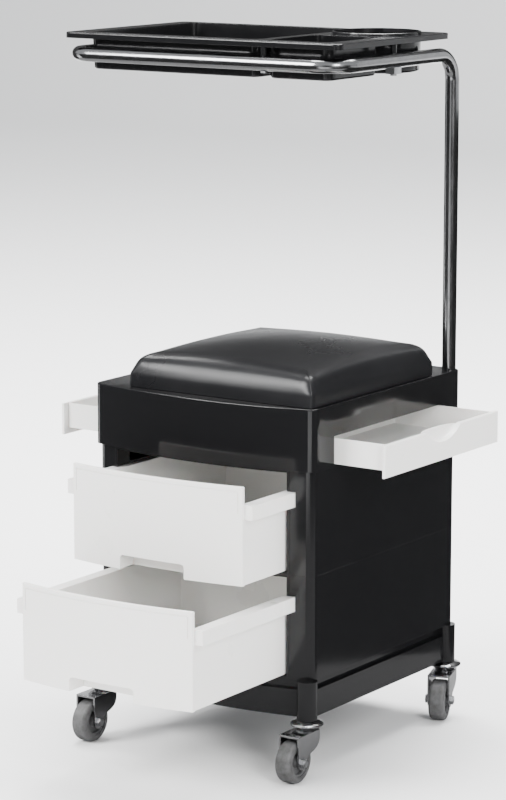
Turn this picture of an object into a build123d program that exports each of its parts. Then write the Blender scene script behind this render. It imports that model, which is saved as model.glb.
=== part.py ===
from build123d import *
import os
from math import cos, radians, sin, sqrt

os.makedirs("parts", exist_ok=True)

# A drawer trolley with a padded seat, four swivel casters and an instrument tray on a bent tube.
# Millimetres, +Z up, drawers open towards -Y, +X to the right; the origin is on the floor below
# the middle of the cabinet. Drawers and casters stand as they do in use, part open.

# ---- driving dimensions ------------------------------------------------------------------
cabinet_width = 312.0        # top casing, side to side
casing_back = 164.0          # top casing, centre to back face
casing_front = 181.0         # top casing, centre to the middle of its bowed front
front_radius = 620.0         # plan radius of every bowed front
corner_radius = 11.5
wall = 3.0

base_height = 46.0
shell_height = 122.5         # one drawer bay
casing_height = 72.5
body_inset = 4.0             # bays stand this far inside the casing, all round
skirt_inset = 6.0
skirt_height = 32.0
skirt_lift = 1.0             # skirt stops this far above the caster seats
neck_inset = 6.0             # shadow groove under the bays
screw_radius = 1.6           # casing screws, from below
screw_length = 20.0
screw_post_radius = 7.0
screw_inset = 15.0           # casing screws, inside the casing's sides and back
screw_front_inset = 39.0
screw_head_radius = 3.6
screw_head_height = 2.4
screw_play = 0.5             # radial, where a screw passes a plate

drawer_inset = 37.0          # casing side to drawer side
drawer_under = 1.0           # drawer to bay floor
drawer_over = 1.5            # drawer to the top edge of its opening
drawer_back_gap = 19.0       # shut drawer to the bay's back wall
drawer_wall = 2.5
drawer_gap = 1.2             # between a drawer front and its opening
drawer_drop = 21.0           # side walls stop this far below the front's top edge
drawer_setback = 2.0         # shut drawer front behind the casing's front
front_thickness = 4.0
box_inset = 2.0              # side walls inside the ends of the front
bead_inset = 5.0             # line moulded round the top corners of a drawer front
bead_width = 1.2
bead_depth = 0.5
bead_drop = 26.0
rail_out = 11.0
rail_height = 17.0
rail_gap = 0.8
upper_open = 85.0
lower_open = 182.0
grip_width = 90.0
grip_height = 17.0
grip_depth = 28.0
grip_corner = 5.0
pillar_depth = 24.0

side_front_inset = 61.0      # casing front to the near side of a side drawer
side_back_inset = 44.0       # casing back to its far side
side_middle_gap = 18.0       # middle of the casing to the inner end of a shut side drawer
side_height = 30.0
side_wall = 2.0
side_lift = 0.6              # side drawer above the casing floor
side_plate_lap = 7.5         # front plate past each side of the drawer
side_plate_height = 38.0
side_plate_drop = 4.0        # front plate below the casing's lower edge
side_plate_thickness = 4.0
side_plate_gap = 0.6         # shut front plate to the casing's side
side_gap = 1.5               # side drawer to the ends of its opening
side_open_right = 68.0
side_open_left = 72.0
scoop_width = 82.0
scoop_depth = 17.0
rib_gap = 0.8
rib_height = 14.0
rib_thickness = 2.0
rib_end = 25.0               # casing side to the ends of a rib

seat_edge = 5.0              # cushion inside the casing's right edge
seat_front_edge = 1.0        # cushion behind the front corners of the casing
seat_left_ledge = 49.0
seat_back_ledge = 58.0
seat_height = 52.0
seat_corner = 5.0
seat_roll = 16.0             # rounding of the cushion's upper edge
seat_board_thickness = 8.0
seat_board_inset = 6.0
seat_board_corner = 4.0
seat_screw_inset = 34.0
seat_screw_radius = 2.0
seat_screw_bite = 7.0

tube_radius = 8.5
tube_wall = 1.5
post_bend = 32.0
ring_bend = 34.0
ring_z = 812.0
ring_width = 382.5           # between the tube's two side runs
ring_depth = 252.5           # post to the front run
ring_end_gap = 56.5          # the left run stops this far short of the post
post_fit = 0.06              # radial running clearance of the post in its socket
plug_length = 12.0
plug_cap = 3.0

tray_rise = 17.5             # rim above the top of the tube
tray_rim_thickness = 2.5
tray_rim_lip = 7.0
tray_rim_corner = 10.0
tray_wall = 2.5
tray_depth = 44.0
tray_draft = 3.0             # degrees
tray_lap = 4.0               # rim past the middle of the tube
tray_back_gap = 2.0          # rim to the post
tray_corner = 14.0
well_side_gap = 12.0         # long well to the tube
well_front_gap = 4.5
well_right_gap = 10.0
well_back_inset = 13.0
well_step = 9.0              # between the two wells
bowl_radius = 53.0
bowl_side_gap = 1.0          # bowl to the tube
bowl_back_inset = 7.0
bowl_long_gap = 2.0          # bowl to the long well
bowl_square_gap = 7.0
bowl_lip = 3.0
boss_radius = 3.5
clip_inset = 100.5           # front clip to the post's side of the ring
clip_screw_radius = 2.0
clip_play = 0.15
clip_head_radius = 3.8
clip_head_height = 2.2
clip_bite = 8.0
clip_pilot = 9.0
saddle_length = 15.0
saddle_width = 12.0
saddle_height = 8.0
saddle_grip = 1.5            # saddle above the lowest line of the tube

wheel_radius = 25.0
wheel_width = 20.0
tyre_round = 4.5
hub_radius = 17.0
hub_inset = 1.5              # hub face inside the wheel's side
hub_rim = 2.5
hub_dish = 4.0
boss_ring = 7.5              # inner edge of the hub's dish
hub_boss = 6.0
hub_clearance = 0.3          # hub boss to the fork leg
axle_radius = 3.0
axle_fit = 0.06
axle_end = 4.2
nut_radius = 5.5
nut_height = 3.6
caster_trail = 29.0
fork_gap = 1.6               # wheel side to fork leg
fork_plate = 2.2
fork_end = 8.5               # radius of a leg's lower end
fork_drop = 6.0
crown_back = 12.0
crown_clearance = 4.5        # wheel top to the underside of the crown
cup_radius = 19.5
cup_height = 10.5
cup_gap = 0.3
cup_neck = 11.5
cup_foot = 12.0
stem_radius = 5.0
stem_fit = 0.06
stem_length = 34.0
flange_radius = 8.0
flange_height = 2.0
flange_gap = 0.2
column_radius = 12.0
caster_inset = 10.0          # stem inside the casing's side
caster_front_inset = 20.0
caster_back_inset = 15.0

# ---- places worked out from them ---------------------------------------------------------
half = cabinet_width / 2
drawer_width = cabinet_width - 2 * drawer_inset
drawer_height = shell_height - 2 * wall - drawer_under - drawer_over
crown_bottom = 2 * wheel_radius + crown_clearance
crown_top = crown_bottom + fork_plate
base_bottom = crown_top + cup_gap + cup_height
base_top = base_bottom + base_height
lower_floor = base_top
upper_floor = lower_floor + shell_height
casing_bottom = upper_floor + shell_height
casing_top = casing_bottom + casing_height
bay_half = half - body_inset
bay_back = casing_back - body_inset
bay_front = casing_front - body_inset
post_x = half - corner_radius
post_y = casing_back - corner_radius
opening_half = drawer_width / 2 + drawer_gap


def sag(half_width):
    """How far a bowed front falls back from its middle at this half width."""
    return front_radius - sqrt(front_radius**2 - half_width**2)


def bowed_plan(half_width, back, front, corner=0.0):
    """Plan outline: straight sides and back, front an arc whose middle is at -front."""
    side_front = -front + sag(half_width)
    with BuildSketch() as plan:
        with BuildLine():
            Polyline((-half_width, side_front), (-half_width, back), (half_width, back),
                     (half_width, side_front))
            ThreePointArc((half_width, side_front), (0, -front), (-half_width, side_front))
        make_face()
        if corner:
            fillet(plan.vertices(), corner)
    return plan.sketch


def save(part, name):
    part.label = name
    export_step(part, f"parts/{name}.step")


# ---- base plinth: skirt, shadow groove and four corner columns for the caster stems --------
caster_x = half - caster_inset
caster_front_y = caster_front_inset - casing_front
caster_back_y = casing_back - caster_back_inset
stations = {                                     # x, y and turn in degrees
    "front_right": (caster_x, caster_front_y, 0.0),
    "front_left": (-caster_x, caster_front_y, 0.0),
    "back_right": (caster_x, caster_back_y, 19.0),
    "back_left": (-caster_x, caster_back_y, -14.0),
}
skirt_half = half - skirt_inset
skirt_back = casing_back - skirt_inset
skirt_front = casing_front - skirt_inset
skirt_bottom = base_bottom + skirt_lift

with BuildPart() as base_plinth:
    with BuildSketch(Plane.XY.offset(skirt_bottom)):
        add(bowed_plan(skirt_half, skirt_back, skirt_front, corner_radius))
    extrude(amount=skirt_height)
    with BuildSketch(Plane.XY.offset(skirt_bottom + skirt_height)):
        add(bowed_plan(skirt_half - neck_inset, skirt_back - neck_inset, skirt_front - neck_inset,
                       corner_radius))
    extrude(amount=base_top - skirt_bottom - skirt_height)
    with BuildSketch(Plane.XY.offset(skirt_bottom)):
        add(bowed_plan(skirt_half - neck_inset - wall, skirt_back - neck_inset - wall,
                       skirt_front - neck_inset - wall))
    extrude(amount=base_top - skirt_bottom - wall, mode=Mode.SUBTRACT)
    with BuildSketch(Plane.XY.offset(base_bottom)):
        with Locations(*[(x, y) for x, y, turn in stations.values()]):
            Circle(column_radius)
    extrude(amount=base_height)
    with BuildSketch(Plane.XY.offset(base_bottom)):
        with Locations(*[(x, y) for x, y, turn in stations.values()]):
            Circle(stem_radius)
    extrude(amount=stem_length, mode=Mode.SUBTRACT)
save(base_plinth.part, "base_plinth")


# ---- drawer bays: two like shells, each with a floor, front pillars and rail slots ---------
pillar_front = -bay_front + sag(opening_half)


def rail_floor(floor_z):
    """Height of the underside of a drawer's rails in the bay that starts at floor_z."""
    return floor_z + wall + drawer_under + drawer_height - drawer_drop - rail_height


def drawer_bay(floor_z):
    """A thin box open at the top and the front, with a slot in each pillar for the drawer rail."""
    with BuildPart() as bay:
        with BuildSketch(Plane.XY.offset(floor_z)):
            add(bowed_plan(bay_half, bay_back, bay_front, corner_radius))
        extrude(amount=shell_height)
        with BuildSketch(Plane.XY.offset(floor_z + wall)):
            add(bowed_plan(bay_half - wall, bay_back - wall, bay_front - wall, corner_radius - wall))
        extrude(amount=shell_height, mode=Mode.SUBTRACT)
        with BuildSketch(Plane.XY.offset(floor_z + wall)):
            with Locations((opening_half + wall / 2, pillar_front + pillar_depth / 2),
                           (-opening_half - wall / 2, pillar_front + pillar_depth / 2)):
                Rectangle(wall, pillar_depth)
        extrude(amount=shell_height - wall)
        with BuildSketch(Plane.XZ.offset(bay_front - wall - sag(bay_half))):
            with Locations((0, floor_z + shell_height / 2)):
                Rectangle(2 * opening_half, shell_height - 2 * wall)
            with Locations((0, rail_floor(floor_z) + rail_height / 2)):
                Rectangle(2 * (drawer_width / 2 + rail_out + rail_gap), rail_height + 2 * rail_gap)
        extrude(amount=2 * pillar_depth, both=True, mode=Mode.SUBTRACT)
    return bay.part


save(drawer_bay(lower_floor), "lower_shell")
save(drawer_bay(upper_floor), "upper_shell")


# ---- drawer runners: an I-section on each side wall of a bay, its slot open to the drawer --
runner_gap = 1.0             # runner to pillar and to the bay's rounded corner
runner_front = pillar_front + pillar_depth + runner_gap
runner_back = bay_back - corner_radius - runner_gap
runner_web = drawer_width / 2 + rail_out + rail_gap


def runners(floor_z):
    """The two runners of one bay, right and left."""
    slot_bottom = rail_floor(floor_z) - rail_gap
    slot_height = rail_height + 2 * rail_gap
    outer = bay_half - wall
    with BuildPart() as pair:
        for side in (1, -1):
            with BuildSketch(Plane.XZ.offset(-runner_front)):
                with Locations((side * (opening_half + outer) / 2, slot_bottom + slot_height / 2)):
                    Rectangle(outer - opening_half, slot_height + 2 * wall)
                with Locations((side * (opening_half + runner_web) / 2, slot_bottom + slot_height / 2)):
                    Rectangle(runner_web - opening_half, slot_height, mode=Mode.SUBTRACT)
                pocket_in = runner_web + wall
                with Locations((side * (pocket_in + outer) / 2, slot_bottom + slot_height / 2)):
                    Rectangle(outer - pocket_in, slot_height, mode=Mode.SUBTRACT)
            extrude(amount=-(runner_back - runner_front))
    return pair.part


save(runners(lower_floor), "lower_runners")
save(runners(upper_floor), "upper_runners")


# ---- front drawers: bowed front with a grip cut-out, box with a rail along each side -------
drawer_back = bay_back - wall - drawer_back_gap
drawer_half = drawer_width / 2
drawer_front = casing_front - drawer_setback
box_half = drawer_half - box_inset
grip_mouth = grip_height + grip_corner + 1.0     # the cutter's rounded foot is below the drawer


def bead(bottom, front):
    """The line round the two top corners of a drawer front, as the sliver to be cut from it."""
    line_top = bottom + drawer_height - bead_inset
    line_half = drawer_half - bead_inset
    with BuildPart() as cutter:
        with BuildSketch(Plane.XZ.offset(front - sag(drawer_half) - front_thickness)):
            with Locations((0, line_top - bead_drop / 2)):
                Rectangle(2 * line_half, bead_drop)
                Rectangle(2 * (line_half - bead_width), bead_drop, mode=Mode.SUBTRACT)
            with Locations((0, line_top - bead_width / 2)):
                Rectangle(2 * line_half, bead_width)
        extrude(amount=sag(drawer_half) + front_thickness + 1.0)
        with BuildSketch(Plane.XY.offset(bottom)):
            add(bowed_plan(drawer_half, casing_back, front - bead_depth))
        extrude(amount=drawer_height, mode=Mode.SUBTRACT)
    return cutter.part


def front_drawer(floor_z, opened):
    """A drawer whose front stands flush with its bay when shut, drawn out by opened."""
    bottom = floor_z + wall + drawer_under
    side_top = bottom + drawer_height - drawer_drop
    back = drawer_back - opened
    front = drawer_front + opened
    shoulder = -front + sag(drawer_half) + front_thickness
    with BuildPart() as drawer:
        with BuildSketch(Plane.XY.offset(bottom)):
            add(bowed_plan(drawer_half, shoulder, front))
        extrude(amount=drawer_height)
        fillet(drawer.edges().filter_by(Axis.Z).group_by(Axis.Y)[0], 1.5)
        fillet(drawer.edges().group_by(Axis.Z)[-1], 0.8)
        with BuildSketch(Plane.XY.offset(bottom)):
            with Locations((0, (shoulder + back) / 2)):
                Rectangle(2 * box_half, back - shoulder)
        extrude(amount=side_top - bottom)
        with BuildSketch(Plane.XY.offset(bottom + drawer_wall)):
            add(bowed_plan(box_half - drawer_wall, back - drawer_wall, front - front_thickness))
        extrude(amount=drawer_height, mode=Mode.SUBTRACT)
        with BuildSketch(Plane.XY.offset(side_top - rail_height)):
            for side in (1, -1):
                with Locations((side * (box_half + drawer_half + rail_out) / 2, (shoulder + back) / 2)):
                    Rectangle(drawer_half + rail_out - box_half, back - shoulder)
        extrude(amount=rail_height)
        with BuildSketch(Plane.XY.offset(side_top - rail_height)):
            for side in (1, -1):
                with Locations((side * (drawer_half + rail_out / 2), (shoulder + back) / 2)):
                    Rectangle(rail_out - 2 * drawer_wall, back - shoulder - 2 * drawer_wall)
        extrude(amount=rail_height - drawer_wall, mode=Mode.SUBTRACT)
        # grip: an arch in the front's lower edge and a pocket wall behind it
        with BuildSketch(Plane.XY.offset(bottom)):
            with Locations((0, -front + grip_depth / 2)):
                Rectangle(grip_width + 2 * drawer_wall, grip_depth + 2 * drawer_wall)
            add(bowed_plan(drawer_half, shoulder + grip_depth, front), mode=Mode.INTERSECT)
        extrude(amount=grip_height + drawer_wall)
        with BuildSketch(Plane.XZ.offset(front - grip_depth)):
            with Locations((0, bottom + grip_height - grip_mouth / 2)):
                RectangleRounded(grip_width, grip_mouth, grip_corner)
        extrude(amount=grip_depth + 1, mode=Mode.SUBTRACT)
        add(bead(bottom, front), mode=Mode.SUBTRACT)
    return drawer.part


save(front_drawer(lower_floor, lower_open), "lower_drawer")
save(front_drawer(upper_floor, upper_open), "upper_drawer")


# ---- top casing: bowed shell with side openings and the socket of the tray post -------------
casing_floor_top = casing_bottom + wall
side_near = side_front_inset - casing_front
side_far = casing_back - side_back_inset
side_length = side_far - side_near
side_y = (side_far + side_near) / 2
side_opening_top = casing_floor_top + side_height + 2 * side_gap
screw_x = half - screw_inset
screw_front = screw_front_inset - casing_front
corner_posts = [(-screw_x, casing_back - screw_inset), (-screw_x, screw_front), (screw_x, screw_front)]
seat_x = (seat_left_ledge - seat_edge) / 2
seat_width = cabinet_width - seat_edge - seat_left_ledge
seat_front = -casing_front + sag(half) + seat_front_edge
seat_back = casing_back - seat_back_ledge
seat_y = (seat_back + seat_front) / 2
seat_depth = seat_back - seat_front
seat_screws_at = [(seat_x + sx * (seat_width / 2 - seat_screw_inset),
                   seat_y + sy * (seat_depth / 2 - seat_screw_inset))
                  for sx in (1, -1) for sy in (1, -1)]

with BuildPart() as top_casing:
    with BuildSketch(Plane.XY.offset(casing_bottom)):
        add(bowed_plan(half, casing_back, casing_front, corner_radius))
    extrude(amount=casing_height)
    fillet(top_casing.edges().group_by(Axis.Z)[-1], 1.5)
    with BuildSketch(Plane.XY.offset(casing_bottom)):
        add(bowed_plan(half - wall, casing_back - wall, casing_front - wall, corner_radius - wall))
    extrude(amount=casing_height - wall, mode=Mode.SUBTRACT)
    with BuildSketch(Plane.XY.offset(casing_floor_top)):
        with Locations((post_x, post_y)):
            Circle(corner_radius)
        with Locations(*corner_posts):
            Circle(screw_post_radius)
    extrude(amount=casing_top - casing_floor_top - wall / 2)
    with BuildSketch(Plane.YZ.offset(-half - 1)):
        with Locations((side_y, (casing_bottom + side_opening_top) / 2 - 1)):
            Rectangle(side_length + 2 * side_gap, side_opening_top - casing_bottom + 2)
    extrude(amount=cabinet_width + 2, mode=Mode.SUBTRACT)
    with BuildSketch(Plane.XY.offset(casing_floor_top + wall)):
        with Locations((post_x, post_y)):
            Circle(tube_radius + post_fit)
    extrude(amount=casing_height, mode=Mode.SUBTRACT)
    with BuildSketch(Plane.XY.offset(casing_floor_top)):
        with Locations(*corner_posts):
            Circle(screw_radius)
    extrude(amount=screw_length - wall, mode=Mode.SUBTRACT)
    with BuildSketch(Plane.XY.offset(casing_top - wall)):
        with Locations(*seat_screws_at):
            Circle(seat_screw_radius + screw_play)
    extrude(amount=wall, mode=Mode.SUBTRACT)
save(top_casing.part, "top_casing")


# ---- casing floor: closes the casing, carries the side drawers between its ribs ------------
floor_inset = wall + 0.4
with BuildPart() as casing_floor:
    with BuildSketch(Plane.XY.offset(casing_bottom)):
        add(bowed_plan(half - floor_inset, casing_back - floor_inset, casing_front - floor_inset,
                       corner_radius - wall))
    extrude(amount=wall)
    with BuildSketch(Plane.XY.offset(casing_floor_top)):
        for side in (1, -1):
            with Locations((0, side_y + side * (side_length / 2 + rib_gap + rib_thickness / 2))):
                Rectangle(2 * (half - rib_end), rib_thickness)
        with Locations((0, side_y)):
            Rectangle(wall, side_length)
    extrude(amount=rib_height)
    with BuildSketch(Plane.XY.offset(casing_bottom)):
        with Locations(*corner_posts):
            Circle(screw_radius + screw_play)
    extrude(amount=wall, mode=Mode.SUBTRACT)
save(casing_floor.part, "casing_floor")

with BuildPart() as casing_screws:
    with BuildSketch(Plane.XY.offset(casing_bottom - screw_head_height)):
        with Locations(*corner_posts):
            Circle(screw_head_radius)
    extrude(amount=screw_head_height)
    with BuildSketch(Plane.XY.offset(casing_bottom)):
        with Locations(*corner_posts):
            Circle(screw_radius)
    extrude(amount=screw_length)
save(casing_screws.part, "casing_screws")


# ---- side drawers: shallow boxes with an overhanging front and a scooped grip ---------------
side_bottom = casing_floor_top + side_lift
side_depth = half - side_middle_gap
side_plate_bottom = casing_bottom - side_plate_drop
side_shut = half + side_plate_gap            # inner face of a shut drawer's front
side_corner = 3.0


def side_drawer(side, opened):
    """The drawer that opens towards +X (side 1) or -X (side -1)."""
    face = side * (side_shut + opened)
    inner = face - side * side_depth
    middle = (face + inner) / 2
    with BuildPart() as drawer:
        with BuildSketch(Plane.XY.offset(side_bottom)):
            with Locations((middle, side_y)):
                Rectangle(side_depth, side_length)
        extrude(amount=side_height)
        fillet(drawer.edges().filter_by(Axis.Z), side_corner)
        with BuildSketch(Plane.XY.offset(side_plate_bottom)):
            with Locations((face + side * side_plate_thickness / 2, side_y)):
                Rectangle(side_plate_thickness, side_length + 2 * side_plate_lap)
        extrude(amount=side_plate_height)
        plate = drawer.faces().sort_by(Axis.X)[-1 if side > 0 else 0]
        fillet(plate.edges(), 1.5)
        with BuildSketch(Plane.XY.offset(side_bottom + side_wall)):
            with Locations((middle, side_y)):
                RectangleRounded(side_depth - 2 * side_wall, side_length - 2 * side_wall, side_corner)
        extrude(amount=side_height, mode=Mode.SUBTRACT)
        with BuildSketch(Plane.YZ.offset(face - side * (side_wall + 1.0))):
            with BuildLine():
                top = side_plate_bottom + side_plate_height + 1.0
                ends = [(side_y + way * scoop_width / 2, top) for way in (1, -1)]
                Polyline(*ends)
                ThreePointArc(ends[1], (side_y, top - scoop_depth), ends[0])
            make_face()
        extrude(amount=side * (side_plate_thickness + side_wall + 2.0), mode=Mode.SUBTRACT)
    return drawer.part


save(side_drawer(1, side_open_right), "right_side_drawer")
save(side_drawer(-1, side_open_left), "left_side_drawer")


# ---- seat: a board screwed to the casing from inside, and the cushion wrapped over it -------
with BuildPart() as seat_board:
    with BuildSketch(Plane.XY.offset(casing_top)):
        with Locations((seat_x, seat_y)):
            RectangleRounded(seat_width - 2 * seat_board_inset, seat_depth - 2 * seat_board_inset,
                             seat_board_corner)
    extrude(amount=seat_board_thickness)
    with BuildSketch(Plane.XY.offset(casing_top)):
        with Locations(*seat_screws_at):
            Circle(seat_screw_radius)
    extrude(amount=seat_screw_bite, mode=Mode.SUBTRACT)
save(seat_board.part, "seat_board")

with BuildPart() as seat_screws:
    with BuildSketch(Plane.XY.offset(casing_top - wall - screw_head_height)):
        with Locations(*seat_screws_at):
            Circle(screw_head_radius)
    extrude(amount=screw_head_height)
    with BuildSketch(Plane.XY.offset(casing_top - wall)):
        with Locations(*seat_screws_at):
            Circle(seat_screw_radius)
    extrude(amount=wall + seat_screw_bite)
save(seat_screws.part, "seat_screws")

with BuildPart() as seat_cushion:
    with BuildSketch(Plane.XY.offset(casing_top)):
        with Locations((seat_x, seat_y)):
            RectangleRounded(seat_width, seat_depth, seat_corner)
    extrude(amount=seat_height)
    fillet(seat_cushion.edges().group_by(Axis.Z)[-1], seat_roll)
    with BuildSketch(Plane.XY.offset(casing_top)):
        with Locations((seat_x, seat_y)):
            RectangleRounded(seat_width - 2 * seat_board_inset, seat_depth - 2 * seat_board_inset,
                             seat_board_corner)
    extrude(amount=seat_board_thickness, mode=Mode.SUBTRACT)
save(seat_cushion.part, "seat_cushion")


# ---- instrument tray arm: post and open ring bent from one tube, turning in its socket ------
post_foot = casing_floor_top + wall + 0.3
ring_left = post_x - ring_width
ring_front = post_y - ring_depth
ring_end = post_y - ring_end_gap
rim_left, rim_right = ring_left - tray_lap, post_x + tray_lap
rim_front, rim_back = ring_front - tray_lap, post_y - tube_radius - tray_back_gap
clip_y = (rim_front + rim_back) / 2
clip_places = [(post_x - clip_inset, ring_front), (post_x, clip_y), (ring_left, clip_y)]
saddle_places = clip_places[1:]
tube_bottom = ring_z - tube_radius

with BuildPart() as tray_arm_tube:
    with BuildLine():
        FilletPolyline(
            (post_x, post_y, post_foot),
            (post_x, post_y, ring_z),
            (post_x, ring_front, ring_z),
            (ring_left, ring_front, ring_z),
            (ring_left, ring_end, ring_z),
            radius=[post_bend, ring_bend, ring_bend],
        )
    with BuildSketch(Plane.XY.offset(post_foot)):
        with Locations((post_x, post_y)):
            Circle(tube_radius)
            Circle(tube_radius - tube_wall, mode=Mode.SUBTRACT)
    sweep()
    with BuildSketch(Plane.XY.offset(tube_bottom)):
        with Locations(*clip_places):
            Circle(clip_screw_radius + clip_play)
    extrude(amount=2 * tube_radius, mode=Mode.SUBTRACT)
save(tray_arm_tube.part, "tray_arm_tube")

with BuildPart() as tube_end_plug:
    with BuildSketch(Plane.XZ.offset(-ring_end)):
        with Locations((ring_left, ring_z)):
            Circle(tube_radius)
    extrude(amount=-plug_cap)
    fillet(tube_end_plug.edges().filter_by(GeomType.CIRCLE).sort_by(Axis.Y)[-1], plug_cap / 2)
    with BuildSketch(Plane.XZ.offset(-ring_end)):
        with Locations((ring_left, ring_z)):
            Circle(tube_radius - tube_wall)
    extrude(amount=plug_length)
save(tube_end_plug.part, "tube_end_plug")


# ---- instrument tray: rolled rim over the ring, a long well, a square well and a round bowl --
def box_plan(corners, shrink=0.0, corner=tray_corner):
    """A rounded rectangle between two corners, drawn in by shrink."""
    x0, y0, x1, y1 = corners
    with BuildSketch() as plan:
        with Locations(((x0 + x1) / 2, (y0 + y1) / 2)):
            RectangleRounded(x1 - x0 - 2 * shrink, y1 - y0 - 2 * shrink, corner - shrink)
    return plan.sketch


tray_rim_top = ring_z + tube_radius + tray_rise
bowl_center = (post_x - tube_radius - bowl_side_gap - bowl_radius,
               rim_back - bowl_back_inset - bowl_radius)
well_front = ring_front + tube_radius + well_front_gap
long_right = bowl_center[0] - bowl_radius - bowl_long_gap
wells = (
    (ring_left + tube_radius + well_side_gap, well_front, long_right, rim_back - well_back_inset),
    (long_right + well_step, well_front, post_x - tube_radius - well_right_gap,
     bowl_center[1] - bowl_radius - bowl_square_gap),
)
rim = (rim_left, rim_front, rim_right, rim_back)
with BuildPart() as instrument_tray:
    with BuildSketch(Plane.XY.offset(tray_rim_top - tray_rim_lip)):
        add(box_plan(rim, corner=tray_rim_corner))
    extrude(amount=tray_rim_lip)
    fillet(instrument_tray.edges().group_by(Axis.Z)[-1], 1.8)
    with BuildSketch(Plane.XY.offset(tray_rim_top - tray_rim_lip)):
        add(box_plan(rim, tray_wall, tray_rim_corner))
    extrude(amount=tray_rim_lip - tray_rim_thickness, mode=Mode.SUBTRACT)
    for well in wells:
        with BuildSketch(Plane.XY.offset(tray_rim_top - tray_rim_thickness)):
            add(box_plan(well))
        extrude(amount=-(tray_depth - tray_rim_thickness), taper=tray_draft)
    with BuildSketch(Plane.XY.offset(tray_rim_top + bowl_lip)):
        with Locations(bowl_center):
            Circle(bowl_radius)
    extrude(amount=-(tray_depth + bowl_lip), taper=tray_draft)
    fillet(instrument_tray.edges().filter_by(GeomType.CIRCLE).group_by(Axis.Z)[-1], 1.2)
    fillet(instrument_tray.edges().group_by(Axis.Z)[0], 3.0)
    for well in wells:
        with BuildSketch(Plane.XY.offset(tray_rim_top)):
            add(box_plan(well, tray_wall))
        extrude(amount=-(tray_depth - tray_wall), taper=tray_draft, mode=Mode.SUBTRACT)
    with BuildSketch(Plane.XY.offset(tray_rim_top + bowl_lip)):
        with Locations(bowl_center):
            Circle(bowl_radius - tray_wall)
    extrude(amount=-(tray_depth + bowl_lip - tray_wall), taper=tray_draft, mode=Mode.SUBTRACT)
    with BuildSketch(Plane.XY.offset(ring_z + tube_radius)):
        with Locations(*clip_places):
            Circle(boss_radius)
    extrude(amount=tray_rim_top - tray_rim_thickness - ring_z - tube_radius)
    with BuildSketch(Plane.XY.offset(ring_z + tube_radius)):
        with Locations(*clip_places):
            Circle(clip_screw_radius)
    extrude(amount=clip_pilot, mode=Mode.SUBTRACT)
save(instrument_tray.part, "instrument_tray")

saddle_bottom = tube_bottom + saddle_grip - saddle_height
with BuildPart() as tray_saddles:
    with BuildSketch(Plane.XY.offset(saddle_bottom)):
        with Locations(*saddle_places):
            Rectangle(saddle_width, saddle_length)
            Circle(clip_screw_radius + clip_play, mode=Mode.SUBTRACT)
    extrude(amount=saddle_height)
    with BuildSketch(Plane.XZ.offset(-clip_y - saddle_length)):
        with Locations(*[(x, ring_z) for x, y in saddle_places]):
            Circle(tube_radius)
    extrude(amount=2 * saddle_length, mode=Mode.SUBTRACT)
save(tray_saddles.part, "tray_saddles")

with BuildPart() as tray_screws:
    for place in clip_places:
        seat_z = saddle_bottom if place in saddle_places else tube_bottom
        with BuildSketch(Plane.XY.offset(seat_z)):
            with Locations(place):
                Circle(clip_screw_radius)
        extrude(amount=ring_z + tube_radius + clip_bite - seat_z)
        with BuildSketch(Plane.XY.offset(seat_z - clip_head_height)):
            with Locations(place):
                Circle(clip_head_radius)
        extrude(amount=clip_head_height)
save(tray_screws.part, "tray_screws")


# ---- casters: a fixed cup and stem, a turning fork, an axle with its nut, a hub and a tyre ---
leg_inner = wheel_width / 2 + fork_gap
leg_outer = leg_inner + fork_plate
leg_front = -caster_trail - fork_end
crown_side = crown_back - fork_drop
axle_reach = leg_outer + axle_end


def caster_axes(station):
    """The caster's own frame on the floor: its wheel trails along its -Y, its axle lies on X."""
    x, y, turn = station
    return Plane(origin=(x, y, 0), x_dir=(cos(radians(turn)), sin(radians(turn)), 0),
                 z_dir=(0, 0, 1))


def across(frame, x):
    """The upright plane square to the axle, x from the middle of the wheel, centred on the axle."""
    origin = frame.from_local_coords(Vector(x, -caster_trail, wheel_radius))
    return Plane(origin=origin, x_dir=frame.y_dir, z_dir=frame.x_dir)


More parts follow.
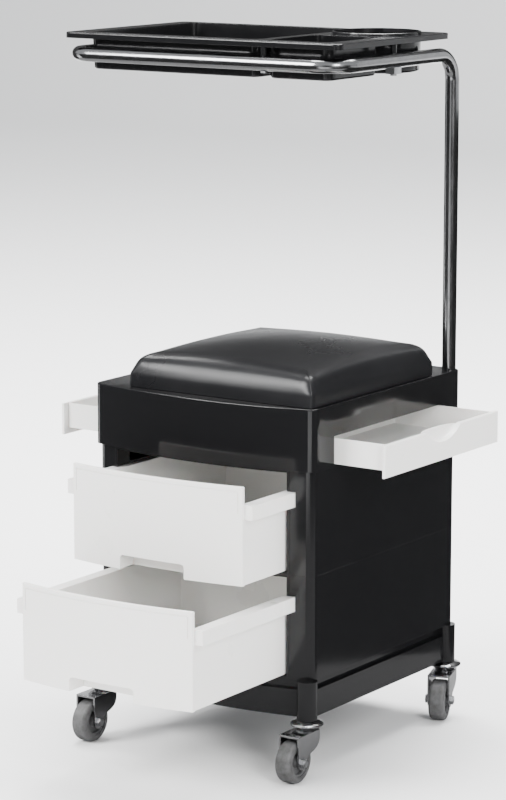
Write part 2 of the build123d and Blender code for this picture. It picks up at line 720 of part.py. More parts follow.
for name, station in stations.items():
    frame = caster_axes(station)

    with BuildPart() as cup:
        with BuildSketch(Plane(origin=frame.origin, x_dir=frame.x_dir, z_dir=-frame.y_dir)):
            with BuildLine():
                low = base_bottom - cup_height
                foot = (cup_foot + 1.0, low + 0.21 * cup_height)
                Polyline((stem_radius, base_bottom), (stem_radius, low), (cup_foot, low), foot)
                Spline(foot, (cup_radius - 1.2, low + 0.42 * cup_height),
                       (cup_radius, low + 0.59 * cup_height),
                       (cup_radius - 1.5, low + 0.74 * cup_height), (cup_neck, base_bottom))
                Line((cup_neck, base_bottom), (stem_radius, base_bottom))
            make_face()
        revolve(axis=Axis(frame.origin, (0, 0, 1)))
    save(cup.part, f"{name}_caster_cup")

    with BuildPart() as stem:
        with BuildSketch(Plane.XY.offset(crown_bottom - flange_gap - flange_height)):
            with Locations((station[0], station[1])):
                Circle(flange_radius)
        extrude(amount=flange_height)
        with BuildSketch(Plane.XY.offset(crown_bottom - flange_gap)):
            with Locations((station[0], station[1])):
                Circle(stem_radius)
        extrude(amount=base_bottom + stem_length - crown_bottom + flange_gap)
    save(stem.part, f"{name}_caster_stem")

    with BuildPart() as fork:
        with BuildSketch(frame.offset(crown_bottom)):
            with BuildLine():
                Polyline((-leg_outer, crown_side), (-leg_outer, leg_front), (leg_outer, leg_front),
                         (leg_outer, crown_side))
                ThreePointArc((leg_outer, crown_side), (0, crown_back), (-leg_outer, crown_side))
            make_face()
            Circle(stem_radius + stem_fit, mode=Mode.SUBTRACT)
        extrude(amount=fork_plate)
        leg_top = crown_bottom - wheel_radius + fork_plate / 2
        leg_back = caster_trail + crown_side
        for x in (leg_inner, -leg_outer):
            with BuildSketch(across(frame, x)):
                with BuildLine():
                    heel = (leg_back, leg_top - fork_drop)
                    Polyline((-fork_end, 0), (-fork_end, leg_top), (leg_back, leg_top), heel)
                    Spline(heel, (leg_back * 0.6, 0.3 * leg_top), (fork_end, 0),
                           tangents=[(0, -1), (-0.2, -1)])
                    ThreePointArc((fork_end, 0), (0, -fork_end), (-fork_end, 0))
                make_face()
                Circle(axle_radius, mode=Mode.SUBTRACT)
            extrude(amount=fork_plate)
    save(fork.part, f"{name}_caster_fork")

    with BuildPart() as axle:
        with BuildSketch(across(frame, -leg_outer)):
            Circle(axle_radius)
        extrude(amount=leg_outer + axle_reach)
        with BuildSketch(across(frame, -leg_outer)):
            RegularPolygon(nut_radius, 6)
        extrude(amount=-nut_height)
    save(axle.part, f"{name}_caster_axle")

    with BuildPart() as nut:
        with BuildSketch(across(frame, leg_outer)):
            RegularPolygon(nut_radius, 6)
            Circle(axle_radius, mode=Mode.SUBTRACT)
        extrude(amount=nut_height)
    save(nut.part, f"{name}_caster_nut")

    with BuildPart() as hub:
        hub_half = wheel_width / 2 - hub_inset
        with BuildSketch(across(frame, -hub_half)):
            Circle(hub_radius)
            Circle(axle_radius + axle_fit, mode=Mode.SUBTRACT)
        extrude(amount=2 * hub_half)
        for way in (1, -1):
            with BuildSketch(across(frame, way * hub_half)):
                Circle(hub_radius - hub_rim)
                Circle(boss_ring, mode=Mode.SUBTRACT)
            extrude(amount=-way * hub_dish, mode=Mode.SUBTRACT)
            with BuildSketch(across(frame, way * hub_half)):
                Circle(hub_boss)
                Circle(axle_radius + axle_fit, mode=Mode.SUBTRACT)
            extrude(amount=way * (hub_inset + fork_gap - hub_clearance))
    save(hub.part, f"{name}_caster_hub")

    with BuildPart() as tyre:
        with BuildSketch(across(frame, -wheel_width / 2)):
            Circle(wheel_radius)
        extrude(amount=wheel_width)
        fillet(tyre.edges(), tyre_round)
        with BuildSketch(across(frame, -wheel_width / 2)):
            Circle(hub_radius)
        extrude(amount=wheel_width, mode=Mode.SUBTRACT)
    save(tyre.part, f"{name}_caster_tyre")
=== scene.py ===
import bmesh
import bpy
import numpy as np
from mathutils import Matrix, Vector
from mathutils.bvhtree import BVHTree


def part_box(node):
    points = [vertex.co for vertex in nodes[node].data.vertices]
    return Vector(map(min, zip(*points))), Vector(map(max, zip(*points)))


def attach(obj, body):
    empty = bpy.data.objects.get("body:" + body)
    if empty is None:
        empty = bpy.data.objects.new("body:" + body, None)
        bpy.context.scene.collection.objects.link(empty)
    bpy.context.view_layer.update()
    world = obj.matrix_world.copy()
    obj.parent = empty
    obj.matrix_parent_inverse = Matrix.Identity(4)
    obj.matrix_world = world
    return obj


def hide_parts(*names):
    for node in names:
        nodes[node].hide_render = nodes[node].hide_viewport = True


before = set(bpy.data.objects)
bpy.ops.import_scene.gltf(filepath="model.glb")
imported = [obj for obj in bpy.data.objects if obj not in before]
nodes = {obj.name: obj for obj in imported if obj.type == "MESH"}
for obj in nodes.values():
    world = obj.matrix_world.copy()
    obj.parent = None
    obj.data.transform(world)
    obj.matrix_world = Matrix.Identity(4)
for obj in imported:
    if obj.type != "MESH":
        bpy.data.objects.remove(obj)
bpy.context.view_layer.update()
scene = bpy.context.scene


# ---- the room: a pale floor that curves up into a backdrop, with soft lamps ----
# The sweep is one sheet. Dark cards stand round the trolley and a grey one lies under it, as they
# would with any black gloss object, so that its sides mirror something dark. Only reflections see them.
def grid_mesh(name, points, close_rows=False, close_columns=False):
    """A smooth mesh over points (rows, columns, 3): one face for each cell, wrapping where closed."""
    rows, columns = points.shape[:2]
    index = np.arange(rows * columns).reshape(rows, columns)
    if close_rows:
        index = np.vstack([index, index[:1]])
    if close_columns:
        index = np.hstack([index, index[:, :1]])
    quads = np.stack([index[:-1, :-1], index[:-1, 1:], index[1:, 1:], index[1:, :-1]], -1).reshape(-1, 4)
    mesh = bpy.data.meshes.new(name)
    mesh.from_pydata(points.reshape(-1, 3).tolist(), [], quads.tolist())
    mesh.polygons.foreach_set("use_smooth", np.ones(len(mesh.polygons), bool))
    made = bpy.data.objects.new(name, mesh)
    scene.collection.objects.link(made)
    return made


def sweep_points(half_width, front, back, radius, height):
    """Floor from front to back, a quarter circle of radius, then upright to height."""
    turn = np.linspace(0, np.pi / 2, 24)
    y = np.concatenate([[front], back + radius * np.sin(turn), [back + radius]])
    z = np.concatenate([[0.0], radius * (1 - np.cos(turn)), [height]])
    x = np.array([half_width, -half_width])
    return np.stack([np.broadcast_to(x[:, None], (2, len(y))), np.broadcast_to(y, (2, len(y))),
                     np.broadcast_to(z, (2, len(z)))], -1)


def paint(name, color, rough, metallic=0.0):
    """A new Principled material, its even values set on the shader's own sockets."""
    material = bpy.data.materials.new(name)
    material.use_nodes = True
    shader = material.node_tree.nodes["Principled BSDF"]
    shader.inputs["Base Color"].default_value = (*color, 1)
    shader.inputs["Roughness"].default_value = rough
    shader.inputs["Metallic"].default_value = metallic
    return material, material.node_tree, shader


floor = grid_mesh("studio_sweep", sweep_points(9.0, -8.0, 6.0, 2.0, 5.0))
floor.data.materials.append(paint("studio_paper", (0.93, 0.93, 0.93), 0.8)[0])
card_dark = paint("studio_card", (0.012, 0.012, 0.012), 0.9)[0]
card_grey = paint("studio_card_pale", (0.16, 0.16, 0.16), 0.9)[0]


def card(name, colour, foot, width, height, facing, lean=0.0):
    """A board, its foot's middle at foot, turned from +X by facing and tipped back by lean degrees."""
    facing, lean = np.radians((facing, lean))
    along = np.array([-np.sin(facing), np.cos(facing), 0.0]) * width / 2
    base = np.array(foot)
    up = height * np.array([-np.cos(facing) * np.sin(lean), -np.sin(facing) * np.sin(lean), np.cos(lean)])
    made = grid_mesh(name, np.array([[base - along, base + along], [base - along + up, base + along + up]]))
    made.data.materials.append(colour)
    made.visible_camera = made.visible_diffuse = made.visible_shadow = False
    return made


cards = [card("card_right", card_dark, (0.24, 0.336, 0.025), 0.95, 0.7, 214.3),
         card("card_side", card_dark, (1.25, -0.45, 0.02), 1.5, 1.1, 160),
         card("card_front", card_dark, (-0.45, -0.81, 0.02), 1.4, 0.85, 55.7),
         card("card_near", card_dark, (2.2, -3.2, 0.02), 2.6, 1.9, 124.3),
         card("card_left", card_dark, (-1.5, 0.3, 0.02), 1.0, 0.9, 0),
         card("card_back", card_dark, (-1.11, 1.57, 0.72), 5.0, 3.0, -55.7),
         card("card_floor", card_grey, (0, -1.6, 0.0015), 3.2, 3.2, -90, 90)]

world = bpy.data.worlds.new("studio_air")
world.use_nodes = True
world.node_tree.nodes["Background"].inputs["Color"].default_value = (0.96, 0.98, 1.0, 1)
world.node_tree.nodes["Background"].inputs["Strength"].default_value = 0.85
scene.world = world


def soft_lamp(name, place, aim, width, height, power):
    """An area lamp at place, facing aim, width by height metres."""
    lamp = bpy.data.lights.new(name, "AREA")
    lamp.shape = "RECTANGLE"
    lamp.size, lamp.size_y = width, height
    lamp.energy = power
    made = bpy.data.objects.new(name, lamp)
    made.location = place
    made.rotation_euler = (Vector(aim) - Vector(place)).to_track_quat("-Z", "Y").to_euler()
    scene.collection.objects.link(made)


soft_lamp("key", (-1.5, -2.6, 2.2), (0, 0, 0.35), 1.4, 1.4, 185)
soft_lamp("fill", (2.3, -1.4, 1.5), (0, 0, 0.35), 0.7, 1.6, 75)
soft_lamp("top", (-0.1, 0.3, 2.6), (0, 0, 0.3), 1.8, 1.4, 120)
soft_lamp("backdrop", (-0.8, 1.4, 3.2), (-1.6, 3.4, 0.0), 3.5, 1.2, 420)

camera_data = bpy.data.cameras.new("view")
camera = bpy.data.objects.new("view", camera_data)
azimuth, elevation, distance = np.radians(34.3), np.radians(10.65), 3.646
aim = Vector((-0.039, 0.0, 0.3971))
towards = Vector((np.sin(azimuth) * np.cos(elevation), -np.cos(azimuth) * np.cos(elevation),
                  np.sin(elevation)))
camera.location = aim + towards * distance
camera.rotation_euler = (-towards).to_track_quat("-Z", "Y").to_euler()
camera_data.lens = 135.8
camera_data.sensor_width = 36.0
scene.collection.objects.link(camera)
scene.camera = camera


# ---- black mouldings: base, drawer bays, top casing and its floor, instrument tray ----
# Injection-moulded gloss plastic, polished and handled: it ripples faintly, and it carries haze,
# fine rubs and a little dust on what faces up.
def wires(tree, kind, **values):
    """A node of this kind with these socket values, an underscore standing for a space."""
    made = tree.nodes.new(kind)
    for socket, value in values.items():
        made.inputs[socket.replace("_", " ")].default_value = value
    return made


def noise(tree, scale, detail=3.0, rough=0.55, stretch=(1, 1, 1)):
    """Noise on Object coordinates, its scale in cycles per metre; returns its factor socket."""
    where = tree.nodes.new("ShaderNodeTexCoord")
    turn = wires(tree, "ShaderNodeMapping", Scale=stretch)
    made = wires(tree, "ShaderNodeTexNoise", Scale=scale, Detail=detail, Roughness=rough)
    tree.links.new(where.outputs["Object"], turn.inputs["Vector"])
    tree.links.new(turn.outputs["Vector"], made.inputs["Vector"])
    return made.outputs["Fac"]


def spread(tree, value, low, high, to_low, to_high):
    """Map Range: value from low..high to to_low..to_high, held at the ends."""
    made = wires(tree, "ShaderNodeMapRange", From_Min=low, From_Max=high, To_Min=to_low, To_Max=to_high)
    tree.links.new(value, made.inputs["Value"])
    return made.outputs["Result"]


def shade(tree, amount, first, second):
    """Mix two colours by amount."""
    made = tree.nodes.new("ShaderNodeMix")
    made.data_type = "RGBA"
    made.inputs["A"].default_value = (*first, 1)
    made.inputs["B"].default_value = (*second, 1)
    tree.links.new(amount, made.inputs["Factor"])
    return made.outputs["Result"]


def product(tree, first, second):
    """Two sockets' values multiplied."""
    made = tree.nodes.new("ShaderNodeMath")
    made.operation = "MULTIPLY"
    tree.links.new(first, made.inputs[0])
    tree.links.new(second, made.inputs[1])
    return made.outputs[0]


def facing_up(tree):
    """0 on walls, 1 on what faces up: the normal's Z from 0.5 to 0.95."""
    normal = tree.nodes.new("ShaderNodeNewGeometry")
    parts = tree.nodes.new("ShaderNodeSeparateXYZ")
    tree.links.new(normal.outputs["Normal"], parts.inputs["Vector"])
    return spread(tree, parts.outputs["Z"], 0.5, 0.95, 0, 1)


def relief(tree, shader, edge, *layers):
    """Edges rounded by edge metres, then one Bump for each (height, distance, strength)."""
    last = wires(tree, "ShaderNodeBevel", Radius=edge).outputs["Normal"]
    for height, deep, strength in layers:
        made = wires(tree, "ShaderNodeBump", Distance=deep, Strength=strength)
        tree.links.new(height, made.inputs["Height"])
        tree.links.new(last, made.inputs["Normal"])
        last = made.outputs["Normal"]
    tree.links.new(last, shader.inputs["Normal"])


gloss_black, settled_dust = (0.006, 0.006, 0.0065), (0.10, 0.10, 0.095)


def black_moulding(name, ripple):
    """Near-black gloss: haze moves the roughness, rubs the relief, and dust pales what faces up."""
    material, tree, shader = paint(name, gloss_black, 0.12)
    haze = noise(tree, 7.0, 5.0, 0.62)
    rubs = noise(tree, 420.0, 2.0, 0.5, (1, 1, 0.04))
    specks = spread(tree, noise(tree, 900.0, 2.0, 0.6), 0.66, 0.74, 0, 0.5)
    dust = product(tree, product(tree, specks, facing_up(tree)), spread(tree, haze, 0.35, 0.65, 0.2, 1))
    tree.links.new(shade(tree, dust, gloss_black, settled_dust), shader.inputs["Base Color"])
    tree.links.new(spread(tree, haze, 0.35, 0.72, 0.07, 0.2), shader.inputs["Roughness"])
    shader.inputs["Specular IOR Level"].default_value = 0.42
    relief(tree, shader, 0.0006, (noise(tree, 16.0, 1.0, 0.4), 0.0012, ripple), (rubs, 0.00005, 0.04))
    return material


def dress(material, *names):
    """These CAD nodes wear this material alone."""
    for name in names:
        nodes[name].data.materials.clear()
        nodes[name].data.materials.append(material)


cabinet_black = black_moulding("cabinet_black", 0.16)
dress(cabinet_black, "base_plinth", "lower_shell", "upper_shell", "top_casing", "casing_floor")
dress(black_moulding("tray_black", 0.08), "instrument_tray")


# ---- matt dark plastic: drawer runners and the plug in the tube's end ----
# Glass-filled nylon, left as it came from the mould, with a fine spark texture.
def matt_plastic(name, first, second, rough):
    """Two close shades in soft patches under a fine spark texture."""
    material, tree, shader = paint(name, first, rough)
    patches = noise(tree, 25.0, 4.0, 0.6)
    tree.links.new(shade(tree, spread(tree, patches, 0.35, 0.7, 0, 1), first, second),
                   shader.inputs["Base Color"])
    tree.links.new(spread(tree, patches, 0.3, 0.7, rough - 0.07, rough + 0.08), shader.inputs["Roughness"])
    relief(tree, shader, 0.0005, (noise(tree, 1500.0, 2.0, 0.6), 0.00006, 0.3))
    return material


dress(matt_plastic("runner_nylon", (0.02, 0.02, 0.021), (0.032, 0.032, 0.033), 0.5),
      "lower_runners", "upper_runners", "tube_end_plug")


# ---- white drawers: two front drawers and two side drawers ----
# Warm white polystyrene, glossy outside. Handling leaves faint grey smudges round the grips and
# rubbed patches that shine less.
def white_moulding():
    """Warm white with a slow shade drift, smudges in soft clouds, and a hint of light inside."""
    material, tree, shader = paint("white_moulding", (0.86, 0.85, 0.83), 0.28)
    clouds = noise(tree, 8.0, 5.0, 0.6)
    fine = noise(tree, 70.0, 4.0, 0.65)
    grime = product(tree, spread(tree, clouds, 0.5, 0.75, 0, 1), spread(tree, fine, 0.45, 0.7, 0, 0.22))
    tree.links.new(shade(tree, grime, (0.86, 0.85, 0.825), (0.66, 0.63, 0.58)),
                   shader.inputs["Base Color"])
    tree.links.new(spread(tree, clouds, 0.3, 0.7, 0.26, 0.38), shader.inputs["Roughness"])
    shader.inputs["Subsurface Weight"].default_value = 0.08
    shader.inputs["Subsurface Scale"].default_value = 0.003
    relief(tree, shader, 0.0006, (noise(tree, 9.0, 1.0, 0.4), 0.001, 0.06),
           (noise(tree, 1100.0, 2.0, 0.6), 0.00004, 0.15))
    return material


drawer_white = white_moulding()
dress(drawer_white, "lower_drawer", "upper_drawer", "right_side_drawer", "left_side_drawer")


# ---- finger scoops of the side drawers: a thin curved pocket behind the notch in each front ----
# The notch's arc runs inwards and up to the front's top edge, so a fingertip meets a smooth cup.
notch_half, notch_depth, scoop_reach, scoop_skin = 0.0385, 0.0155, 0.011, 0.0013
scoop_drop = 0.0012          # cup's rim below the top of the front
scoop_set = 0.0038           # cup behind the outer face


def scoop_points(face, side):
    """Loops across a cup behind the plane x = face, one for each y along the notch.

    The notch is an arc: its depth at y is sqrt(R^2 - y^2) - R + depth, R = (half^2 + depth^2) / (2 depth).
    Each loop is a quarter ellipse as deep as the notch there, its reach growing as sqrt(depth at y),
    and the same again outside it by the skin.
    """
    radius = (notch_half**2 + notch_depth**2) / (2 * notch_depth)
    y = notch_half * np.sin(np.linspace(-np.pi / 2, np.pi / 2, 41))[:, None]
    depth = np.sqrt(radius**2 - y**2) - radius + notch_depth
    reach = scoop_reach * np.sqrt(depth.clip(0) / notch_depth)
    turn = np.linspace(0, np.pi / 2, 16)[None, :]
    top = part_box("right_side_drawer")[1][2] - scoop_drop
    inner = np.stack([face - side * reach * np.sin(turn), y + 0 * turn, top - depth * np.cos(turn)], -1)
    outer = np.stack([face - side * (reach + scoop_skin) * np.sin(turn), y + 0 * turn,
                      top - (depth + scoop_skin) * np.cos(turn)], -1)[:, ::-1]
    loops = np.concatenate([inner, outer], axis=1)
    loops[[0, -1]] = loops[[0, -1]].mean(1, keepdims=True)
    return loops


def close_holes(made, level=None):
    """Welds points that coincide, cuts the form off below level, fills each open loop with a flat face,
    and turns every face outward."""
    shell = bmesh.new()
    shell.from_mesh(made.data)
    bmesh.ops.remove_doubles(shell, verts=shell.verts, dist=1e-7)
    if level is not None:
        bmesh.ops.bisect_plane(shell, geom=[*shell.verts, *shell.edges, *shell.faces],
                               plane_co=(0, 0, level), plane_no=(0, 0, -1), clear_outer=True)
    open_edges = [edge for edge in shell.edges if edge.is_boundary]
    for face in bmesh.ops.holes_fill(shell, edges=open_edges, sides=0)["faces"]:
        face.smooth = False
    for edge in open_edges:
        edge.smooth = False
    bmesh.ops.recalc_face_normals(shell, faces=shell.faces)
    shell.to_mesh(made.data)
    shell.free()


for name, side, corner in (("right", 1, 1), ("left", -1, 0)):
    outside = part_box(f"{name}_side_drawer")[corner][0]
    scoop = grid_mesh(f"{name}_scoop", scoop_points(outside - side * scoop_set, side), close_columns=True)
    close_holes(scoop)
    scoop.data.materials.append(drawer_white)
    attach(scoop, f"{name}_side_box")


# ---- seat cushion: foam under gloss black vinyl, wrapped over a board and closed at the corners ----
# The sides stand nearly straight, draw in a little between the corners and roll over into a crowned
# top. Each corner is pulled low, with a folded seam and small gathers at its top.
seat_low, seat_high = (np.array(corner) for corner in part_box("seat_cushion"))
seat_middle = (seat_low + seat_high) / 2
seat_half = (seat_high - seat_low) / 2
side_top = seat_low[2] + 0.019      # where the sides start to roll over
edge_roll = 0.020
foot_spare = 0.008           # built below the foot, then cut away
foot_band = 0.006            # held still while the foam swells
seat_skin = 0.0004           # clear of the space it fills, all round
swell_room = 0.001           # sides start this far in


def vinyl():
    """Gloss black sheet with a fine leather grain, soft hollows, and a duller rubbed crown."""
    material, tree, shader = paint("seat_vinyl", (0.008, 0.008, 0.009), 0.3)
    rubbed = noise(tree, 9.0, 4.0, 0.6)
    tree.links.new(spread(tree, rubbed, 0.1, 0.95, 0.2, 0.42), shader.inputs["Roughness"])
    tree.links.new(shade(tree, spread(tree, rubbed, 0.1, 0.95, 0, 1), (0.006, 0.006, 0.007),
                         (0.014, 0.014, 0.015)), shader.inputs["Base Color"])
    shader.inputs["Specular IOR Level"].default_value = 0.32
    relief(tree, shader, 0.0004, (noise(tree, 14.0, 2.0, 0.45), 0.0016, 0.10),
           (noise(tree, 650.0, 3.0, 0.6), 0.00006, 0.3))
    return material


def cushion_points(across):
    """The cushion's top and bottom, each a grid of across by across cells.

    The top rolls over its edge as sqrt(1 - r^2) and has a crown of (1 - u^2) (1 - v^2) on that. r^4 is
    the sum, over both ways, of (how far out past the roll's start, over its width)^4. The sides draw
    in by up to 1.6 mm between the corners. The bottom is below the foot, which is cut level later.
    """
    u, v = np.meshgrid(*[np.linspace(-1, 1, across + 1)] * 2, indexing="ij")
    pull = 1 - 0.012 * (1 - v**2) ** 2, 1 - 0.012 * (1 - u**2) ** 2
    x = seat_middle[0] + u * (seat_half[0] - swell_room) * pull[0]
    y = seat_middle[1] + v * (seat_half[1] - swell_room) * pull[1]
    past = [1 - (1 - np.abs(w)) * half / edge_roll for w, half in ((u, seat_half[0]), (v, seat_half[1]))]
    roll = np.sqrt(1 - (np.clip(past, 0, 1) ** 4).sum(0).clip(0, 1) ** 0.5)
    crown = (1 - u**2) * (1 - v**2)
    top = np.stack([x, y, side_top + (seat_high[2] - side_top) * (0.62 * roll + 0.38 * crown)], -1)
    bottom = np.stack([seat_middle[0] + u * (seat_half[0] - swell_room),
                       seat_middle[1] + v * (seat_half[1] - swell_room),
                       np.full_like(u, seat_low[2] - foot_spare)], -1)
    return top, bottom


def rim_loop(grid):
    """The outer points of a square grid, once round."""
    return np.concatenate([grid[:-1, 0], grid[-1, :-1], grid[:0:-1, -1], grid[0, :0:-1]])


def build_cushion():
    """Top, bottom and eight side rows welded into one closed form."""
    top, bottom = cushion_points(52)
    rise = np.linspace(0, 1, 9)[:, None, None]
    side = rim_loop(bottom) * (1 - rise) + rim_loop(top) * rise
    made = grid_mesh("seat_cover", side, close_columns=True)
    shell = bmesh.new()
    shell.from_mesh(made.data)
    for grid in (top, bottom):
        sheet = grid_mesh("seat_sheet", grid)
        shell.from_mesh(sheet.data)
        bpy.data.meshes.remove(sheet.data)
    bmesh.ops.remove_doubles(shell, verts=shell.verts, dist=0.00002)
    bmesh.ops.recalc_face_normals(shell, faces=shell.faces)
    shell.to_mesh(made.data)
    shell.free()
    return made


def vertex_places(made):
    """The mesh's vertices as an array of rows."""
    places = np.empty(len(made.data.vertices) * 3)
    made.data.vertices.foreach_get("co", places)
    return places.reshape(-1, 3)


def place_vertices(made, places):
    """Writes rows back to the mesh's vertices."""
    made.data.vertices.foreach_set("co", places.ravel())
    made.data.update()


def settle(made, kind, **values):
    """Adds this modifier with these values and applies it."""
    modifier = made.modifiers.new(kind, kind)
    for key, value in values.items():
        setattr(modifier, key, value)
    with bpy.context.temp_override(object=made, active_object=made):
        bpy.ops.object.modifier_apply(modifier=modifier.name)


def inflate(made, farthest):
    """Cloth under pressure with its foot pinned; no point moves more than farthest."""
    before = vertex_places(made)
    foot = made.vertex_groups.new(name="foot")
    foot.add(np.flatnonzero(before[:, 2] < seat_low[2] + foot_band).tolist(), 1.0, "REPLACE")
    modifier = made.modifiers.new("Cloth", "CLOTH")
    modifier.settings.vertex_group_mass = "foot"
    modifier.settings.use_pressure = True
    modifier.settings.uniform_pressure_force = 4.0
    modifier.settings.tension_stiffness = modifier.settings.compression_stiffness = 40.0
    modifier.settings.bending_stiffness = 6.0
    modifier.settings.quality = 6
    modifier.settings.effector_weights.gravity = 0.0
    modifier.collision_settings.use_collision = False
    for frame_number in range(1, 21):
        scene.frame_set(frame_number)
    moved = vertex_places(made.evaluated_get(bpy.context.evaluated_depsgraph_get())) - before
    made.modifiers.remove(modifier)
    scene.frame_set(1)
    size = np.linalg.norm(moved, axis=1, keepdims=True)
    place_vertices(made, before + moved * np.minimum(1, farthest / np.maximum(size, 1e-9)))


cushion = build_cushion()
inflate(cushion, 0.0015)
settle(cushion, "SUBSURF", levels=1, render_levels=1)


def gathers(places, folds=9, pull=0.0006, wave=0.0007, width=0.018):
    """Folds that fan out from each top corner.

    A point moves in towards the seat's middle by (pull + wave sin(folds times its turn round the
    corner)) exp(-(d / width)^2), d its distance from the corner. The wave starts elsewhere at each.
    """
    moved = places.copy()
    for sx in (1, -1):
        for sy in (1, -1):
            corner = np.array([seat_middle[0] + sx * seat_half[0], seat_middle[1] + sy * seat_half[1],
                               side_top])
            away = places - corner
            fade = np.exp(-(np.linalg.norm(away, axis=1) / width) ** 2)
            turn = np.arctan2(away[:, 1] * sy, away[:, 0] * sx)
            inward = (seat_middle - corner) / np.linalg.norm(seat_middle - corner)
            moved += inward * ((pull + wave * np.sin(folds * turn + 1.7 * sx + sy)) * fade)[:, None]
    return moved


places = gathers(vertex_places(cushion))
low, high = seat_low + seat_skin, seat_high - seat_skin
across = (places - places.min(0)) / np.ptp(places, axis=0)
places[:, :2] = low[:2] + across[:, :2] * (high - low)[:2]
places[:, 2] += high[2] - places[:, 2].max()
place_vertices(cushion, places)
cushion.data.polygons.foreach_set("use_smooth", np.ones(len(cushion.data.polygons), bool))
close_holes(cushion, low[2])
seat_vinyl = vinyl()
cushion.data.materials.append(seat_vinyl)
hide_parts("seat_cushion")
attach(cushion, "cabinet")


# ---- cushion seams: a folded edge of vinyl standing up each corner of the seat ----
# The seam is a thin welt that follows the corner from the casing up and fades over the crown.
seam_radius, seam_sides = 0.0007, 10
seam_core = 0.034, 0.012     # rays aim this far in from the corner, and below the roll's start
seam_lifts = np.radians(np.linspace(-22, 74, 40))


def tube_points(path, radii, sides):
    """Rings of sides points round a path, each square to it and as wide as its radius."""
    along = np.gradient(path, axis=0)
    along /= np.linalg.norm(along, axis=1, keepdims=True)
    across = np.cross(along, np.where(np.abs(along[:, 2:]) > 0.9, [[1.0, 0, 0]], [[0, 0, 1.0]]))
    for row in range(1, len(path)):
        across[row] = across[row - 1] - along[row] * (across[row - 1] @ along[row])
    across /= np.linalg.norm(across, axis=1, keepdims=True)
    over = np.cross(along, across)
    turn = np.linspace(0, 2 * np.pi, sides, endpoint=False)[None, :, None]
    ring = across[:, None] * np.cos(turn) + over[:, None] * np.sin(turn)
    return path[:, None] + ring * np.asarray(radii)[:, None, None]


def corner_path(surface, sx, sy):
    """Points where rays aimed at the cushion's core meet it, from its foot to inside the top corner."""
    inset, drop = seam_core
    core = Vector((seat_middle[0] + sx * (seat_half[0] - inset), seat_middle[1] + sy * (seat_half[1] - inset),
                   side_top - drop))
    out = Vector((sx, sy, 0)).normalized()
    found = []
    for lift in seam_lifts:
        way = out * np.cos(lift) + Vector((0, 0, 1)) * np.sin(lift)
        hit = surface.ray_cast(core + way * 0.2, -way)[0]
        if hit is not None:
            found.append(hit)
    return np.array(found)


surface = BVHTree.FromPolygons(vertex_places(cushion).tolist(),
                               [face.vertices for face in cushion.data.polygons])
for sx, side in ((1, "right"), (-1, "left")):
    for sy, end in ((1, "back"), (-1, "front")):
        path = corner_path(surface, sx, sy)
        radii = seam_radius * np.minimum(1, np.linspace(5, 0.02, len(path)))
        rings = np.clip(tube_points(path, radii, seam_sides), seat_low, seat_high)
        seam = grid_mesh(f"seat_seam_{end}_{side}", rings, close_columns=True)
        close_holes(seam)
        seam.data.materials.append(seat_vinyl)
        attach(seam, "cabinet")


# ---- chromed tube: post and open ring bent from one length ----
# A drawn steel tube, polished and plated. It is bright and slightly wavy, and rubbed in places. Its colour
# here is darker than plated steel, a painted shade for the dark surroundings it would mirror.
post_x, post_y, post_foot = 0.1445, 0.1525, 0.3676
ring_front, ring_left, ring_end, ring_height = -0.1, -0.238, 0.096, 0.812
post_bend, ring_bend = 0.032, 0.034
tube_radius, tube_sides = 0.0085, 56
tube_bends = [((post_x, post_y, post_foot), 0.0), ((post_x, post_y, ring_height), post_bend),
              ((post_x, ring_front, ring_height), ring_bend),
              ((ring_left, ring_front, ring_height), ring_bend), ((ring_left, ring_end, ring_height), 0.0)]


def bent_path(corners):
    """Straight runs joined by tangent arcs: each corner's arc starts radius times tan(half turn) away."""
    points = [np.array(corners[0][0])]
    for before, (corner, radius), after in zip(corners, corners[1:], corners[2:]):
        corner = np.array(corner)
        come = corner - np.array(before[0])
        go = np.array(after[0]) - corner
        come, go = come / np.linalg.norm(come), go / np.linalg.norm(go)
        turned = np.arccos(come @ go)
        start = corner - come * radius * np.tan(turned / 2)
        inward = go - come * (come @ go)
        inward /= np.linalg.norm(inward)
        angle = np.linspace(0, turned, 28)[:, None]
        points.append(start + radius * (come * np.sin(angle) + inward * (1 - np.cos(angle))))
    points.append(np.array(corners[-1][0]))
    return np.vstack(points)


def chrome_plate(name, tone, low, high, wave):
    """Chrome of this tone, its roughness from low to high in rubbed clouds, over a faint waviness."""
    bright = np.array([1.0, 1.0, 1.02]) * tone
    material, tree, shader = paint(name, bright, low, 1.0)
    clouds = noise(tree, 30.0, 6.0, 0.65)
    tree.links.new(spread(tree, clouds, 0.35, 0.75, low, high), shader.inputs["Roughness"])
    tree.links.new(shade(tree, spread(tree, clouds, 0.4, 0.8, 0, 1), bright, bright * 0.72),
                   shader.inputs["Base Color"])
    relief(tree, shader, 0.0004, (noise(tree, 55.0, 2.0, 0.5), 0.0003, wave),
           (noise(tree, 900.0, 2.0, 0.6), 0.00003, 0.06))
    return material


tube_path = bent_path(tube_bends)
tube_rings = tube_points(tube_path, np.full(len(tube_path), tube_radius), tube_sides)
tube = grid_mesh("tray_tube", tube_rings, close_columns=True)
close_holes(tube)
# The tone of 0.30 is darker than plated steel: painted shade that stands in for the dark surroundings the
# tube would mirror.
tube.data.materials.append(chrome_plate("tube_chrome_painted_dark", 0.30, 0.13, 0.27, 0.12))
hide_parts("tray_arm_tube")
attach(tube, "tray_arm")


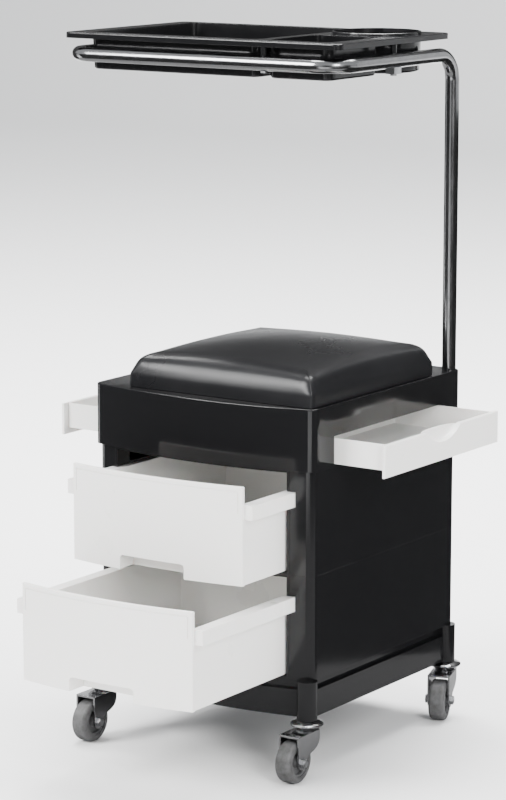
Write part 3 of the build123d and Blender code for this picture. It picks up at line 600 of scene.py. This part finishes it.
# ---- caster metal and small fastenings ----
# Pressed steel forks and cups with thinner plating than the tube, and zinc-plated axles, nuts,
# stems, screws and saddles.
def zinc():
    """Bluish zinc: fine streaks and cloudy passivation."""
    material, tree, shader = paint("zinc_plate", (0.55, 0.56, 0.58), 0.35, 1.0)
    clouds = noise(tree, 120.0, 5.0, 0.6)
    tree.links.new(shade(tree, spread(tree, clouds, 0.35, 0.7, 0, 1), (0.60, 0.61, 0.63),
                         (0.42, 0.42, 0.43)), shader.inputs["Base Color"])
    tree.links.new(spread(tree, clouds, 0.3, 0.7, 0.26, 0.46), shader.inputs["Roughness"])
    relief(tree, shader, 0.0004, (noise(tree, 1600.0, 2.0, 0.5, (1, 1, 0.1)), 0.00004, 0.2))
    return material


corners = ("front_right", "front_left", "back_right", "back_left")
dress(chrome_plate("caster_chrome", 0.52, 0.10, 0.26, 0.25),
      *[f"{corner}_caster_{part}" for corner in corners for part in ("cup", "fork")])
dress(zinc(), "casing_screws", "seat_screws", "tray_screws", "tray_saddles",
      *[f"{corner}_caster_{part}" for corner in corners for part in ("stem", "axle", "nut")])


# ---- caster wheels: grey nylon hub under a grey rubber tyre ----
# The tread is the palest part where it is worn, and dirt and lint darken the shoulders.
def tyre_rubber():
    """Grey rubber with dirt in clouds and a fine pitted surface."""
    material, tree, shader = paint("tyre_rubber", (0.085, 0.085, 0.088), 0.5)
    dirt = noise(tree, 90.0, 5.0, 0.65)
    tree.links.new(shade(tree, spread(tree, dirt, 0.35, 0.7, 0, 1), (0.10, 0.10, 0.103),
                         (0.045, 0.044, 0.042)), shader.inputs["Base Color"])
    tree.links.new(spread(tree, dirt, 0.3, 0.7, 0.36, 0.62), shader.inputs["Roughness"])
    relief(tree, shader, 0.0005, (noise(tree, 700.0, 3.0, 0.6), 0.0001, 0.25))
    return material


dress(tyre_rubber(), *[f"{corner}_caster_tyre" for corner in corners])
dress(matt_plastic("hub_nylon", (0.11, 0.11, 0.113), (0.07, 0.07, 0.07), 0.42),
      *[f"{corner}_caster_hub" for corner in corners])


# ---- seat board: plywood, seen only from below the cushion ----
# Raw birch ply with long grain.
def plywood():
    """Two wood tones in streaks drawn out along X."""
    material, tree, shader = paint("seat_plywood", (0.45, 0.33, 0.22), 0.6)
    tree.links.new(shade(tree, spread(tree, noise(tree, 160.0, 5.0, 0.6, (0.08, 1, 1)), 0.35, 0.65, 0, 1),
                         (0.50, 0.38, 0.25), (0.34, 0.24, 0.15)), shader.inputs["Base Color"])
    return material


dress(plywood(), "seat_board")
